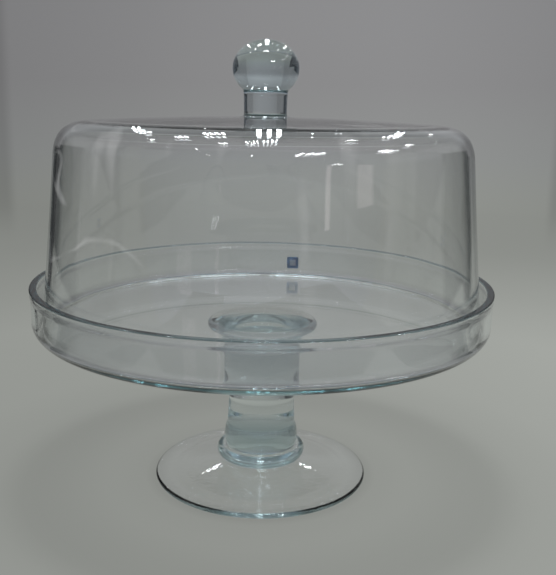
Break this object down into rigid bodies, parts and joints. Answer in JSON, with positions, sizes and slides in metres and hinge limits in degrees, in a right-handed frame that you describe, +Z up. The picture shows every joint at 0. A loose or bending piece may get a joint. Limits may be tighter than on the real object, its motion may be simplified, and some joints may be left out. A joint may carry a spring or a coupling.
{
  "type": "covered cake stand",
  "caption": "Footed round glass plate with an upright rim on a waisted stem, under a lift-off tapered glass dome with a ball knob.",
  "frame": {"origin": "on the table, under the middle of the foot", "axes": "+Z up along the stem and through the knob; +Y points away from the viewer, towards the side of the dome that carries the small label"},
  "size_m": [0.29, 0.29, 0.2806],
  "materials": {
    "clear_glass": "fire-polished clear glass with a faint blue-green tint",
    "label_film": "printed adhesive film, satin"
  },
  "bodies": {
    "stand": {"foot": "clear_glass", "foot_collar": "clear_glass", "stem_knop": "clear_glass", "stem_column": "clear_glass", "plate_pad": "clear_glass", "plate": "clear_glass"},
    "dome": {"dome_shell": "clear_glass", "dome_knob": "clear_glass", "label": "label_film"}
  },
  "joints": [
    {"name": "dome_lift", "type": "slide", "parent": "stand", "child": "dome", "axis": [0, 0, 1], "range_m": [0, 0.16]}
  ]
}
